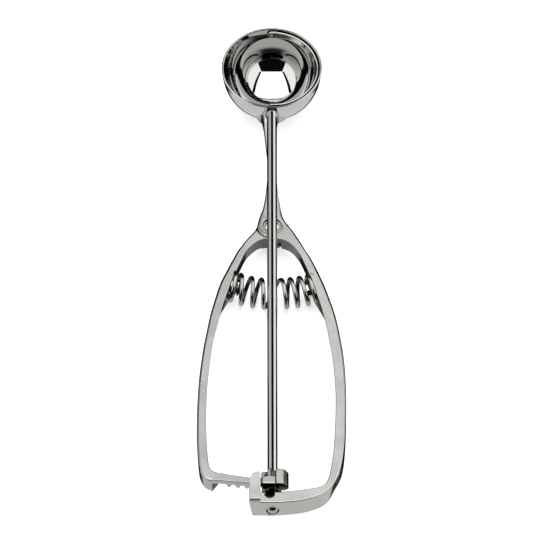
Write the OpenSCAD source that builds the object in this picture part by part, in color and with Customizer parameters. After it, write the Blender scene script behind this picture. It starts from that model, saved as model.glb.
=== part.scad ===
// Lever ice cream scoop: squeezing two sprung grips slides a curved rack over a
// pinion, and the pinion's rod sweeps a blade round the inside of the cup.
// Every sub-part is drawn in the tool frame: +Y along the rod from the grips to
// the cup, +Z out of the cup's mouth, and the origin at the cup's centre.
// lay_down() then sets the whole tool on its back, on the cup and the foot.

/* [Cup] */
// Outer radius of the ball-shaped cup
cup_r = 19.65; // [19.4:0.05:19.9]
// Wall of the cup
cup_wall = 0.9; // [0.8:0.05:1]
// Height of the flared lip above the rod's axis
lip_rise = 2.4; // [2.2:0.1:2.8]
// How far the lip flares outward over its height
lip_flare = 0.35; // [0.1:0.05:0.5]

/* [Scraper] */
// Thickness of the scraper blade
blade_t = 0.7; // [0.6:0.05:0.8]
// Width of the scraper blade at its middle
blade_w = 3.4; // [3:0.1:4]
// Radius of the rod that turns the scraper
rod_r = 2; // [1.9:0.05:2.1]
// Radius of the rod's journal in the cup's bush
journal_r = 1.4; // [1.3:0.05:1.5]

/* [Handles] */
// Distance from the cup's centre to the rivet
pivot_to_cup = 75.3; // [75.2:0.05:75.4]
// Gap between the rod's axis and the front face of the joint
joint_drop = 2.5; // [2.4:0.05:2.6]
// Thickness of the fixed handle's eye, the front half of the lap
front_lap = 2.3; // [2.2:0.1:2.4]
// Thickness of the lever's eye, the back half of the lap
back_lap = 3.9; // [3.7:0.1:4]
// Radius of the fixed handle's eye
eye_r = 6.05; // [6:0.05:6.1]
// Radius of the rivet's shank
rivet_r = 2; // [1.9:0.05:2.1]

/* [Gearing] */
// Teeth that the pinion would have all the way round
pinion_teeth = 7; // [7]
// Turns of the pinion for each turn of the lever
gear_ratio = 34; // [34]
// Distance from the rivet to the middle of the curved rack
rack_r = 131.9; // [131.8:0.05:132]
// Width of the rack, across its teeth
rack_w = 4; // [3.8:0.1:4.2]
// Front face of the rack above the rod's axis
rack_top = 7.4; // [7.2:0.05:7.5]
// Height of the teeth outside the pitch line
addendum = 0.72; // [0.7:0.01:0.74]
// Play between the teeth, measured along the pitch line
backlash = 0.3; // [0.25:0.01:0.35]

/* [Spring] */
// Radius of the return spring's coil, to the middle of its wire
coil_r = 5.5; // [5.3:0.05:5.6]
// Radius of the return spring's wire
wire_r = 0.75; // [0.7:0.05:0.8]

/* [Hidden] */
$fn = 96;

// Fits: a turning fit, a loose gap and the overshoot of a cutting shape
fit = 0.05;
gap = 0.15;
over = 1;

// Levels of the lap joint
pivot_y = -pivot_to_cup;
lap_z = -joint_drop - front_lap;
joint_back = lap_z - 0.1 - back_lap;
lever_eye_r = 6.2;
pocket_r = 7.6;
lever_clear_r = 6.3;

// Lean of the arms' inner faces, in degrees
draft = 9;

// Foot: its outer face leans in towards the back, on which the tool lies
foot_front = [-217.85, 6.5];
foot_back = [-216.65, -3.95];
lie_angle = asin(cup_r / norm(foot_back)) - atan(foot_back[1] / foot_back[0]);
function floor_z(y) = foot_back[1] - (y - foot_back[0]) * tan(lie_angle);
wall_top = 8.8;
wall_x = [-9, -4.7];

// Gearing, all from the pitch line where rack and pinion meet
pitch_r = rack_r / gear_ratio;
tooth_pitch = 2 * PI * pitch_r / pinion_teeth;
rack_step = 360 / pinion_teeth / gear_ratio;
tip_r = pitch_r + addendum;
root_r = pitch_r - addendum - 0.2;
rack_tip = pitch_r - addendum;
rack_root = tip_r + 0.2;
mesh_lead = 17.7;
rack_lead = mesh_lead / gear_ratio;
rack_gaps = 6;
rack_end = 1.05;
pinion_y = [-206.9, -199.6];
side_play = 0.4;
rod_end = -207.4;
pin_tip_r = 1;

// Outlines seen from the front, as points on smooth curves
neck_left = [
    [-2.6, -17], [-2.8, -24], [-2.9, -28], [-2.8, -31], [-2.4, -35.5],
    [-2, -41], [-1.9, -50], [-2.2, -55], [-2.6, -59], [-3.1, -63], [-3.9, -67], [-5.2, -71], [-5.8, -75]
];
neck_right = [
    [4.6, -71.2], [3.6, -67], [3, -63], [2.4, -59], [2.1, -55], [1.8, -48], [1.6, -41],
    [1.5, -32], [1.3, -28], [1.1, -24], [1, -17]
];
// Bell that spreads the neck over the cup, as [radius, distance from the cup's centre]
bell = [[1.75, 33], [1.95, 31], [2.5, 27], [3.3, 24.3], [4.6, 22], [6.2, 20.2], [8, 18]];
bell_x = -0.85;
bell_dip = 11;
arch_right = [[-2, -80.5], [0, -81.4], [3.8, -82], [6.1, -83.1], [8.4, -85.4], [10.3, -88.5]];
arm_right_in = [
    [11.6, -91.3], [13.8, -97.5], [16.1, -105], [18.2, -112.5], [20.1, -121], [21.9, -131], [23.8, -145.5],
    [24.8, -162], [24.6, -178], [23.9, -191], [22.9, -200], [22, -205], [20.9, -207.7], [19, -209.5], [16, -210.4]
];
foot_in = [[11, -211.3], [5, -212.2], [0, -212.6], [-7, -212.6]];
foot_out = [[-7, -218], [0, -218], [6, -217.5], [11, -216.8]];
arm_right_out = [
    [16, -215.1], [20.1, -212.9], [23.1, -209.6], [25.1, -205.7], [26.7, -200.8], [28, -192.5], [28.8, -182],
    [29.1, -163], [28.5, -146], [26.4, -129.5], [24, -117], [21.6, -108.7], [19, -100.4], [15.7, -92.1],
    [12.9, -86.4], [9.3, -79], [6.2, -74]
];
arch_left = [[1, -81.5], [-3, -81.8], [-5.7, -82.9], [-8.1, -85.2], [-10.1, -87.9]];
arm_left_in = [
    [-11.5, -91.1], [-13.9, -97.6], [-16.3, -105], [-18.5, -112.5], [-20.5, -121.5], [-22.2, -130.2],
    [-23.6, -138.6], [-25.1, -153], [-25.9, -168], [-25.9, -184], [-25.5, -193.5], [-25, -199], [-24.3, -201.6],
    [-22.8, -203], [-20.4, -203.8], [-20.4, -206]
];
arm_left_out = [
    [-24.2, -206], [-24.2, -207.9], [-25.6, -207.2], [-27.2, -205.4], [-28.5, -202.2], [-29.2, -198], [-29.7, -190],
    [-29.8, -178], [-29.5, -163.6], [-28.3, -147], [-26, -130.2], [-23.8, -117.6], [-20.8, -105],
    [-17.6, -96.6], [-14.1, -88.2], [-10.7, -82.4], [-6.1, -76.2], [-5.3, -73.6]
];

// Outlines seen from the side, as [y, z]: front edge to the foot, back edge home
fixed_side = concat(
    [[-15, -joint_drop], [-82, -joint_drop], [-212, foot_front[1]], foot_front, foot_back],
    [[-209.5, floor_z(-209.5)], [-207, -3.4], [-84, joint_back], [-66, joint_back]],
    spline([[-58, -7.9], [-50, -7.1], [-40, -6.8], [-31, -7.2], [-25, -8.8], [-17, -13]])
);
lever_side = [
    [-60, -joint_drop], [-82, -joint_drop], [-203, rack_top], [-215, rack_top],
    [-215, -0.5], [-205, -0.5], [-84, joint_back], [-60, joint_back]
];

// Spring: x of the wire at each half turn, from the top of the first coil to the
// top of the last. The rod passes through the wide space in the middle.
coil_x = [-16.4, -14.7, -14, -11, -9.3, -7, -4.8, -3, 4, 5.3, 7.7, 9.4, 11.6, 13.3, 15.1, 16.4, 16.8];
spring_mid = [-107.4, -4.8];
spring_left = [-103.7, -4.5];
spring_right = [-105.2, -4.5];
spring_end_x = 16;
wire_sides = 8;
wire_steps = 18;
coil_phase = 53;
stud_r = 3.2;
stud_shank_r = 1.5;
seat_r = 6.7;
seat_depth = 1.9;

// Middle of the laid tool's box, from the rivet side to side and end to end
middle_x = -0.35;
middle_y = -98.72;

// A point of the Catmull-Rom curve between b and c
function blend(a, b, c, d, t) =
    (2 * b + (c - a) * t + (2 * a - 5 * b + 4 * c - d) * t * t + (3 * b - a - 3 * c + d) * t * t * t) / 2;

// A smooth curve through the points of p, with n steps between neighbours
function spline(p, n = 4) = concat(
    [for (i = [0:len(p) - 2]) for (j = [0:n - 1])
        blend(p[max(i - 1, 0)], p[i], p[i + 1], p[min(i + 2, len(p) - 1)], j / n)],
    [p[len(p) - 1]]
);

// Rests the tool on its back, with the middle of its box over the origin
module lay_down() {
    translate([-middle_x, -middle_y, cup_r]) rotate([lie_angle, 0, 0]) children();
}

// Extrudes an outline drawn as [x, y] from z0 up to z1
module plate(outline, z0, z1) {
    translate([0, 0, z0]) linear_extrude(z1 - z0) polygon(outline);
}

// Extrudes an outline drawn as [y, z] from x0 to x1
module profile(outline, x0, x1) {
    translate([x0, 0, 0]) rotate([90, 0, 90]) linear_extrude(x1 - x0) polygon(outline);
}

// Extrudes an outline drawn as [x, z] from y0 to y1
module bar(outline, y0, y1) {
    translate([0, y1, 0]) rotate([90, 0, 0]) linear_extrude(y1 - y0) polygon(outline);
}

// A round bar along the rod's axis
module shaft(y0, y1, r) {
    translate([0, y0, 0]) rotate([-90, 0, 0]) cylinder(h = y1 - y0, r = r);
}

// A round bar along the rivet's axis
module post(z0, z1, r) {
    translate([0, pivot_y, z0]) cylinder(h = z1 - z0, r = r);
}

// A low dome of radius r and height h, rising along +Z
module dome(r, h) {
    ball = (r * r + h * h) / (2 * h);
    intersection() {
        translate([0, 0, h - ball]) sphere(r = ball);
        cylinder(h = h + over, r = r);
    }
}

// A domed head on the rod's axis at y, facing +Y where dir is 1 and -Y where it is -1
module head(y, r, h, dir) {
    translate([0, y, 0]) rotate([-90 * dir, 0, 0]) dome(r, h);
}

// The cup's shape with its wall reduced by inset
module cup_form(inset, top) {
    intersection() {
        sphere(r = cup_r - inset);
        translate([-30, -30, -30]) cube([60, 60, 30]);
    }
    cylinder(h = top, r1 = cup_r - inset, r2 = cup_r - inset + lip_flare * top / lip_rise);
}

module bowl_cup() {
    color("silver") lay_down() difference() {
        cup_form(0, lip_rise);
        cup_form(cup_wall, lip_rise + over);
        shaft(-25, -15, journal_r + 0.4);
        shaft(15, 25, 0.8);
    }
}

module rod_bush() {
    color("dimgray") lay_down() difference() {
        union() {
            difference() {
                shaft(-cup_r - 0.95, -cup_r + 0.5, journal_r + 0.9);
                cup_form(0, lip_rise);
            }
            shaft(-cup_r - 0.2, -cup_r + cup_wall, journal_r + 0.4);
        }
        shaft(-25, -15, journal_r + fit);
    }
}

module blade_pivot_pin() {
    inner = cup_r - cup_wall - gap - blade_t - gap;
    color("silver") lay_down() {
        head(cup_r, 1.3, 0.7, 1);
        shaft(inner - 0.2, cup_r + 0.3, 0.8);
        head(inner, 1.3, 0.6, -1);
    }
}

// Guide wall: a hook that rises from the foot and reaches over the rack
module guide_wall() {
    intersection() {
        bar([[wall_x[1], wall_top], [wall_x[0], wall_top], [-9.25, 5], [-7.7, -5], [wall_x[1], -5]], -219, -203);
        plate(concat([[-4, -219], [-4, -204.6], [-5.4, -204.6]],
            spline([[-6.6, -204.75], [-7.9, -205.5], [-8.7, -206.5], [-9.1, -208]]), [[-9.5, -219]]), -5, 9);
        profile([[-200, wall_top], [-217.4, wall_top], [-217.85, 6.5], foot_back, [-200, floor_z(-200)]], -10, -4);
    }
}

// Trumpet-shaped end of the neck, square to the cup's wall under the rod
module neck_bell() {
    difference() {
        translate([bell_x, 0, 0]) rotate([90 + bell_dip, 0, 0])
            rotate_extrude() polygon(concat([[0, 18], [0, 33]], spline(bell)));
        shaft(-40, -15, rod_r + 0.35);
        translate([-10, -40, 0.5]) cube([20, 30, 10]);
    }
}

// Window between the arms, cut so that an arm's inner face leans outward towards
// the back. Front and back are the [y, z] ends of the arm's faces at its foot.
module window_draft(edge, side, front, back) {
    outline = [for (p = spline(edge))
        let (along = (p[1] + 82) / (front[0] + 82), front_z = -joint_drop + (front[1] + joint_drop) * along,
            back_z = joint_back + (back[1] - joint_back) * (p[1] + 84) / (back[0] + 84),
            fade = 1.2 * (1 - min(1, max(0, min((-94 - p[1]) / 25, (p[1] + 203) / 25)))))
        [(p[0] + side * tan(draft) * (front_z - fade * (front_z - back_z))) * cos(draft), p[1]]];
    rotate([0, -side * draft, 0]) translate([0, 0, -20]) linear_extrude(40)
        polygon(concat(outline, [[side * 8, edge[len(edge) - 1][1]], [side * 8, edge[0][1]]]));
}

module fixed_handle() {
    outline = concat(spline(neck_left), spline(concat(arch_right, arm_right_in, foot_in)),
        spline(foot_out), spline(concat(arm_right_out, neck_right)));
    color("lightgray") lay_down() difference() {
        union() {
            difference() {
                intersection() {
                    plate(outline, -14, 8);
                    profile(fixed_side, -12, 32);
                }
                post(-14, lap_z, pocket_r);
            }
            post(lap_z, -joint_drop, eye_r);
            neck_bell();
            difference() {
                guide_wall();
                // Path of the rack through the hook
                translate([0, 0, rack_tip - 12]) linear_extrude(rack_top + 0.2 - rack_tip + 12) intersection() {
                    translate([0, pivot_y]) circle(r = rack_r + rack_w / 2 + side_play, $fn = 360);
                    translate([-15, -212.6]) square([30, 15]);
                }
            }
        }
        cup_form(0, lip_rise);
        window_draft([for (p = arm_right_in) if (p[1] > -206) p], 1, fixed_side[2], fixed_side[6]);
        post(-20, 20, rivet_r);
        post(-joint_drop - 0.9, 0, 3.85);
        shaft(-230, -205, 1.3);
        shaft(-230, -215.6, 2.55);
        // Pocket behind the rack's end, open to the front
        translate([-1.15, -213.4, 5.4]) cylinder(h = 8, r = 1.95);
        spring_seat(1);
    }
}

// Rivet: its head lies in the front counterbore and its tail is peened behind
module pivot_rivet() {
    color("silver") lay_down() {
        post(-joint_drop - 0.9, -joint_drop - 0.15, 2.9);
        translate([0, pivot_y, -joint_drop - 0.15]) dome(2.9, 0.35);
        post(joint_back - 0.1, -joint_drop - 0.5, rivet_r);
        translate([0, pivot_y, joint_back - 0.08]) rotate([180, 0, 0]) dome(3.1, 0.9);
    }
}

// Pivot pin of the rod: a shoulder stands under the rod's end, a tip runs in its bore
module foot_pivot_pin() {
    color("silver") lay_down() {
        shaft(rod_end - 0.3, -201, pin_tip_r);
        shaft(-215.6, rod_end - gap, 1.3);
        shaft(-216.1, -215.6, 2.1);
        head(-216.1, 2.1, 0.9, -1);
    }
}

// Places its children on an arm's inner side, with +Z pointing into the spring
module at_seat(side) {
    end = side < 0 ? spring_left : spring_right;
    translate([side * spring_end_x, end[0], end[1]]) rotate([0, 0, side * 18]) rotate([0, -side * 90, 0])
        children();
}

// Seat for one end of the spring, and the hole for its stud
module spring_seat(side) {
    at_seat(side) {
        translate([0, 0, -seat_depth]) cylinder(h = seat_depth + 5, r = seat_r);
        translate([0, 0, -3.4]) cylinder(h = 4, r = stud_shank_r);
    }
}

// Stud that holds one end of the spring on an arm
module stud(side) {
    at_seat(side) {
        translate([0, 0, -3.3]) cylinder(h = 3, r = stud_shank_r);
        translate([0, 0, -seat_depth]) cylinder(h = seat_depth + 3.15, r = stud_r);
    }
}

module spring_stud_fixed() {
    color("gray") lay_down() stud(1);
}

module spring_stud_lever() {
    color("gray") lay_down() stud(-1);
}

// One tooth gap of the rack, cut radially at the given step from the end
module rack_gap(step) {
    half = tooth_pitch / 2;
    wide = half - (half - backlash / 2) / 2 + addendum * tan(20);
    narrow = wide - (rack_root - rack_tip) * tan(20);
    translate([0, pivot_y, 0]) rotate([0, 0, -rack_lead - step * rack_step])
        bar([[-wide - tan(20), rack_tip - 1], [wide + tan(20), rack_tip - 1], [narrow, rack_root], [-narrow, rack_root]],
            -rack_r - 5, -rack_r + 5);
}

module lever_handle() {
    outline = concat(spline(concat(arch_left, arm_left_in)), spline(arm_left_out));
    color("lightgray") lay_down() difference() {
        union() {
            difference() {
                intersection() {
                    plate(outline, -12, 9);
                    profile(lever_side, -32, 2);
                }
                post(lap_z - 0.1, 0, lever_clear_r);
            }
            post(joint_back, lap_z - 0.1, lever_eye_r);
            // Curved rack
            intersection() {
                difference() {
                    post(rack_tip, rack_top, rack_r + rack_w / 2);
                    post(rack_tip - over, rack_top + over, rack_r - rack_w / 2);
                }
                translate([-24.5, -215, 0]) cube([24.5 + rack_end, 20, 10]);
            }
        }
        window_draft([for (p = arm_left_in) if (p[1] > -202) p], -1, lever_side[2], lever_side[5]);
        post(-20, 20, rivet_r + fit);
        for (step = [0:rack_gaps - 1]) rack_gap(step);
        // Plain length of the rack, beyond its last tooth
        translate([-23.8, -215, rack_tip - over]) cube([5.1, 10.5, rack_root - rack_tip + over]);
        spring_seat(-1);
    }
}

// Position along the spring after a count of turns
function coil_at(turn) =
    let (i = min(floor(2 * turn), len(coil_x) - 2))
    coil_x[i] + (coil_x[i + 1] - coil_x[i]) * (2 * turn - i);

// How far the bowed coil's middle has risen at x towards its end
function coil_rise(x) =
    let (end = x < 0 ? spring_left : spring_right)
    (end - spring_mid) * pow(x / spring_end_x, 2);

// Lean of the bowed coil at x, in degrees
function coil_lean(x) = atan(2 * coil_rise(x)[0] / (abs(x) < 0.01 ? 0.01 : x));

// A point at radius r from the spring's middle line after a count of turns
function coil_point(turn, r, shift = 0) =
    let (x = coil_at(turn), lean = coil_lean(x), mid = spring_mid + coil_rise(x),
        a = coil_phase - 360 * turn, c = r * sin(a))
    [x - c * sin(lean) + shift * cos(lean), mid[0] + c * cos(lean) + shift * sin(lean), mid[1] + r * cos(a)];

// Ring of the wire's surface after a count of turns
function wire_ring(turn) = [for (k = [0:wire_sides - 1])
    coil_point(turn, coil_r + wire_r * cos(360 * k / wire_sides), wire_r * sin(360 * k / wire_sides))];

module return_spring() {
    turns = (len(coil_x) - 1) / 2;
    rings = turns * wire_steps;
    points = [for (i = [0:rings]) each wire_ring(i / wire_steps)];
    sides = [for (i = [0:rings - 1]) for (k = [0:wire_sides - 1])
        let (a = i * wire_sides + k, b = i * wire_sides + (k + 1) % wire_sides)
        [a, b, b + wire_sides, a + wire_sides]];
    first = [for (k = [wire_sides - 1:-1:0]) k];
    last = [for (k = [0:wire_sides - 1]) rings * wire_sides + k];
    color("silver") lay_down() polyhedron(points, concat([first, last], sides));
}

module scraper_rod() {
    bush_face = -cup_r - 0.95 - gap;
    blade_out = -cup_r + cup_wall + gap;
    color("silver") lay_down() {
        difference() {
            shaft(rod_end, bush_face, rod_r);
            shaft(rod_end - over, -200.5, pin_tip_r + fit);
        }
        difference() {
            shaft(bush_face - 0.5, blade_out + 0.2, journal_r);
            difference() {
                sphere(r = -blade_out);
                translate([-30, -30, -30]) cube([60, 1, 60]);
            }
        }
        shaft(-cup_r - 0.5, blade_out + blade_t, 1);
        head(blade_out + blade_t, 1.6, 0.7, 1);
    }
}

// One pinion tooth standing on the hub at an angle from +X
function tooth(angle) = [for (p = [[root_r - 0.3, 0.78], [root_r, 0.72], [pitch_r, tooth_pitch / 4 - backlash / 4],
    [tip_r, 0.42], [tip_r, -0.42], [pitch_r, -tooth_pitch / 4 + backlash / 4], [root_r, -0.72], [root_r - 0.3, -0.78]])
    [p[0] * cos(angle) - p[1] * sin(angle), p[0] * sin(angle) + p[1] * cos(angle)]];

module pinion() {
    color("gray") lay_down() difference() {
        union() {
            shaft(pinion_y[0], pinion_y[1], root_r);
            for (i = [0:4]) bar(tooth(90 + mesh_lead + i * 360 / pinion_teeth), pinion_y[0], pinion_y[1]);
            // Blank lobe in place of the two teeth that never meet the rack
            bar([[0.9, 2], [1.5, 4.2], [4.2, 4], [5.6, 2.6], [6.35, 1.2], [6.3, 0.4], [5.2, -0.3], [2.5, -0.6]],
                pinion_y[0], pinion_y[1]);
        }
        shaft(-210, -195, rod_r);
    }
}

module scraper_blade() {
    outer = cup_r - cup_wall - gap;
    color("silver") lay_down() difference() {
        intersection() {
            difference() {
                sphere(r = outer);
                sphere(r = outer - blade_t);
            }
            union() {
                translate([0, -30, -blade_w / 2]) cube([30, 60, blade_w]);
                shaft(-30, 30, 2);
            }
        }
        shaft(-30, 0, 1);
        shaft(0, 30, 0.8 + fit);
    }
}

bowl_cup();
rod_bush();
blade_pivot_pin();
fixed_handle();
pivot_rivet();
foot_pivot_pin();
spring_stud_fixed();
lever_handle();
spring_stud_lever();
return_spring();
scraper_rod();
pinion();
scraper_blade();
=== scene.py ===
import math
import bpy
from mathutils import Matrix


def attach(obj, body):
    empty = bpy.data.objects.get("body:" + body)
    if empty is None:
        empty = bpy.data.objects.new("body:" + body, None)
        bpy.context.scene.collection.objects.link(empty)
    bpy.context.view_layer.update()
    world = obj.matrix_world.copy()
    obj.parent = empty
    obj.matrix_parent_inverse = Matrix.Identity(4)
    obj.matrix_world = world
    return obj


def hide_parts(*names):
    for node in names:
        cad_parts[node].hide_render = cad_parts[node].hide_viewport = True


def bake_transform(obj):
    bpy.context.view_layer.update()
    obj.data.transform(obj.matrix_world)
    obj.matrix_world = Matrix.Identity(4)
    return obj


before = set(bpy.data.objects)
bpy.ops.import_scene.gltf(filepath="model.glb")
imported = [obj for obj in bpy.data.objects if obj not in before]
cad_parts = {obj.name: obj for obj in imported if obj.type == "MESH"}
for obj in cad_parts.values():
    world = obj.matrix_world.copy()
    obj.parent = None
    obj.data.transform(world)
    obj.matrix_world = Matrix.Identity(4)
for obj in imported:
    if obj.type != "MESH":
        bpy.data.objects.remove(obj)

import types

import bpy
import numpy as np
from mathutils import Matrix, Vector

bl_info = {
    "name": "Lever Ice Cream Scoop",
    "version": (1, 0, 0),
    "blender": (4, 5, 0),
    "location": "View3D > Sidebar > Scoop",
    "description": "Dresses a squeeze-handle ice cream scoop over its packed solids",
    "category": "Object",
}

# Places, in mm in the tool's own frame: +Y from the grips to the cup, +Z out of the
# cup's mouth, origin at the cup's centre. laid() turns them into the row frame.
CUP_R = 19.65
PIVOT = np.array([0.0, -75.3])
FOOT_FRONT = (-217.85, 6.5)
FOOT_BACK = (-216.65, -3.95)
LIE = math.asin(CUP_R / math.hypot(*FOOT_BACK)) - math.atan(FOOT_BACK[1] / FOOT_BACK[0])
END_LEAN = (FOOT_BACK[0] - FOOT_FRONT[0]) / (FOOT_FRONT[1] - FOOT_BACK[1])
MIDDLE = (-0.35, -98.72)
JOINT_TOP = -2.5
BEND_Y = -82
LAP = -4.8
JOINT_BACK = -8.8
# Sink round the rivet's head, the lever's eye, and the round pocket behind that takes the eye
SINK_R, SINK_DEEP = 4.1, 0.9
EYE_R = 6.9
EYE_POCKET_R = 7.7
# Half-round pocket in the foot's front, and the pin's sink in the foot's end face
POCKET, POCKET_R, POCKET_DEEP = (-1.15, -213.4), 2.05, 1.9
PIN_SINK_R, PIN_SINK_Y = 3.05, -215.6
# Guide wall: its sides' x, its top, and the height from which it hooks over the rack
WALL_LEFT, WALL_RIGHT = -9.05, -4.7
WALL_TOP, HOOK_Z = 8.8, 7.6
# Width of the narrow band over which a sink's wall falls
SINK_WALL = 0.25
# Lean of the grips' inner faces
DRAFT = math.tan(math.radians(9))

# Rails of the fixed casting from the cup to the foot, each row as x, y of the edge on the
# window's side and x, y of the outer edge
FIXED_RAILS = [
    (-3.9, -17.2, 2.9, -17.2), (-3.8, -17.9, 2.8, -17.9), (-3.6, -19.8, 2.5, -19.7),
    (-3.4, -21.6, 2.2, -21.6), (-3.3, -23.9, 2, -23.9), (-3.2, -26.6, 1.7, -26.6),
    (-2.85, -30.4, 1.4, -30.4), (-2.45, -35.5, 1.5, -35.5), (-2, -41, 1.6, -41),
    (-1.9, -50, 1.85, -49.5), (-2.2, -55, 2.1, -55), (-2.6, -59, 2.4, -59), (-3.1, -63, 3, -63),
    (-3.9, -67, 3.6, -67), (-5.2, -71, 4.6, -71.2), (-5.95, -75.3, 6.2, -74),
    (-5.15, -78.27, 7.7, -76.4), (-3.42, -80.17, 8.7, -78), (-1.58, -81.04, 9.5, -79.4),
    (0.6, -81.5, 10.3, -81), (3.8, -82, 11.4, -83.2), (6.1, -83.1, 12.2, -84.9),
    (8.4, -85.4, 13.3, -87.2), (10.3, -88.5, 14.7, -90), (11.6, -91.3, 15.7, -92.1),
    (13.8, -97.5, 18, -97.8), (16.1, -105, 20.5, -104.9), (18.2, -112.5, 22.6, -112),
    (20.1, -121, 24.8, -120.5), (21.9, -131, 26.6, -130.5), (23.8, -145.5, 28.4, -145.5),
    (24.8, -162, 29.05, -162), (24.6, -178, 28.9, -178.5), (23.9, -191, 28.15, -191.8),
    (22.9, -200, 26.75, -201), (22, -205, 25.1, -205.9), (20.9, -207.7, 23.1, -209.8),
    (19, -209.5, 20.1, -213), (16, -210.4, 16, -215.2), (11, -211.3, 11, -216.8),
    (7, -211.9, 7.5, -217.3), (4, -212.35, 4, -217.7), (2, -212.5, 2, -217.82),
    (0, -212.6, 0, -217.85), (-2, -212.6, -2, -217.85), (-4, -212.6, -4, -217.84),
    (-6.5, -212.6, -6.5, -217.83),
]
# Rails of the lever from the joint to its foot, and the bow of each crossing line
LEVER_RAILS = [
    (1, -81.5, -6.1, -76.2), (-1.5, -81.6, -7.6, -78.2), (-3.6, -81.95, -9.1, -80.2),
    (-5.7, -82.9, -10.7, -82.4), (-8.1, -85.2, -12.3, -85.1), (-10.1, -87.9, -13.9, -87.8),
    (-11.5, -91.1, -15.4, -91.3), (-13.9, -97.6, -17.9, -97.4), (-16.3, -105, -20.6, -104.4),
    (-18.5, -112.5, -22.5, -111.9), (-20.5, -121.5, -24.5, -121), (-22.2, -130.2, -26, -130.2),
    (-23.6, -138.6, -27.3, -139), (-25.1, -153, -28.8, -153), (-25.9, -168, -29.6, -168),
    (-25.9, -184, -29.8, -184), (-25.5, -193.5, -29.45, -194), (-25, -199, -29, -199.6),
    (-24.3, -201.6, -28.3, -203), (-22.8, -203, -26.6, -206.3), (-21.3, -203.65, -24.4, -207.6),
]
LEVER_BOW = [1.93, 1.2, 0.6, 0.2] + [0] * 17

# Gearing, as the solids have it
PINION_TEETH = 7
GEAR_RATIO = 34
RACK_R = 131.9
PITCH_R = RACK_R / GEAR_RATIO
TOOTH_PITCH = 2 * math.pi * PITCH_R / PINION_TEETH
TOOTH_TIP, TOOTH_ROOT = 0.72, 0.92
RACK_TIP = PITCH_R - TOOTH_TIP
RACK_ROOT = PITCH_R + TOOTH_ROOT
RACK_TOP = 7.4
MESH_LEAD = 17.7
PINION_Y = (-206.9, -199.6)
# Blade: its outer radius, its thickness and its play at the pins
BLADE_R, BLADE_THICK, PLAY = CUP_R - 0.9 - 0.15, 0.7, 0.15

# Return spring: x of the wire at each half turn, from a top to the next bottom
COIL_X = [-16.4, -14.7, -14, -11, -9.3, -7, -4.8, -3, 4, 5.3, 7.7, 9.4, 11.6, 13.3, 15.1,
          16.4, 16.8]
COIL_MID = np.array([-107.4, -4.8])
COIL_LEFT = np.array([-103.7, -4.5])
COIL_RIGHT = np.array([-105.2, -4.5])


# ---- shapes

def laid(points):
    """Row frame in metres: the tool is turned back by LIE about X, raised by the cup's radius
    and centred."""
    p = np.asarray(points, float)
    c, s = math.cos(LIE), math.sin(LIE)
    x = p[..., 0] - MIDDLE[0]
    y = p[..., 1] * c - p[..., 2] * s - MIDDLE[1]
    z = p[..., 1] * s + p[..., 2] * c + CUP_R
    return np.stack([x, y, z], -1) / 1000


def spline(points, steps):
    """Catmull-Rom curve through rows of points, with the same number of steps between
    neighbours."""
    p = np.asarray(points, float)
    a, d = np.vstack([p[:1], p[:-2]]), np.vstack([p[2:], p[-1:]])
    b, c = p[:-1], p[1:]
    t = (np.arange(steps) / steps)[:, None]
    a, b, c, d = (q[:, None] for q in (a, b, c, d))
    curve = 2 * b + (c - a) * t + (2 * a - 5 * b + 4 * c - d) * t**2
    curve = (curve + (3 * b - a - 3 * c + d) * t**3) / 2
    return np.vstack([curve.reshape(-1, p.shape[1]), p[-1:]])


def ease(x, zero, one):
    """Smooth share of x: 0 at zero and 1 at one, either of which may be greater."""
    t = np.clip((np.asarray(x, float) - zero) / (one - zero), 0, 1)
    return t * t * (3 - 2 * t)


def circle(number):
    """Angles evenly round a circle."""
    return np.linspace(0, 2 * math.pi, number, endpoint=False)


def unit(vectors):
    """Vectors scaled to a length of 1."""
    return vectors / np.linalg.norm(vectors, axis=1)[:, None]


def floor_z(y):
    """Height of the surface the tool lies on, at y."""
    return FOOT_BACK[1] - (y - FOOT_BACK[0]) * math.tan(LIE)


def fillet(corners, radius, steps=5):
    """Rounds each inner corner of a polyline: a parabola from radius before the corner to radius
    after it, with a point just outside each end so that the shading stays in the corner."""
    c = np.asarray(corners, float)
    out = [c[:1]]
    t = np.linspace(0, 1, steps)[:, None]
    for before, at, after in zip(c[:-2], c[1:-1], c[2:]):
        u, v = before - at, after - at
        lu, lv = np.linalg.norm(u), np.linalg.norm(v)
        r = min(radius, 0.45 * lu, 0.45 * lv)
        p, q = at + u / lu * r, at + v / lv * r
        arc = p * (1 - t) ** 2 + 2 * at * t * (1 - t) + q * t**2
        lead = at + u / lu * min(r + 0.2, 0.48 * lu), at + v / lv * min(r + 0.2, 0.48 * lv)
        out += [lead[0][None], arc, lead[1][None]]
    return np.vstack(out + [c[-1:]])


def turned(profile, centre=(0, 0, 0), along="Z", around=96):
    """Body of revolution: profile rows are (radius, height) from pole to pole, turned about an
    axis through centre."""
    p = np.asarray(profile, float)
    a = circle(around)
    r, h = p[:, :1], np.repeat(p[:, 1:], around, 1)
    u, v = r * np.cos(a), r * np.sin(a)
    points = np.stack([u, v, h] if along == "Z" else [u, h, v], -1)
    return points + np.asarray(centre, float)


def placed(name, data):
    """New object in the scene."""
    piece = bpy.data.objects.new(name, data)
    bpy.context.scene.collection.objects.link(piece)
    return piece


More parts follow.
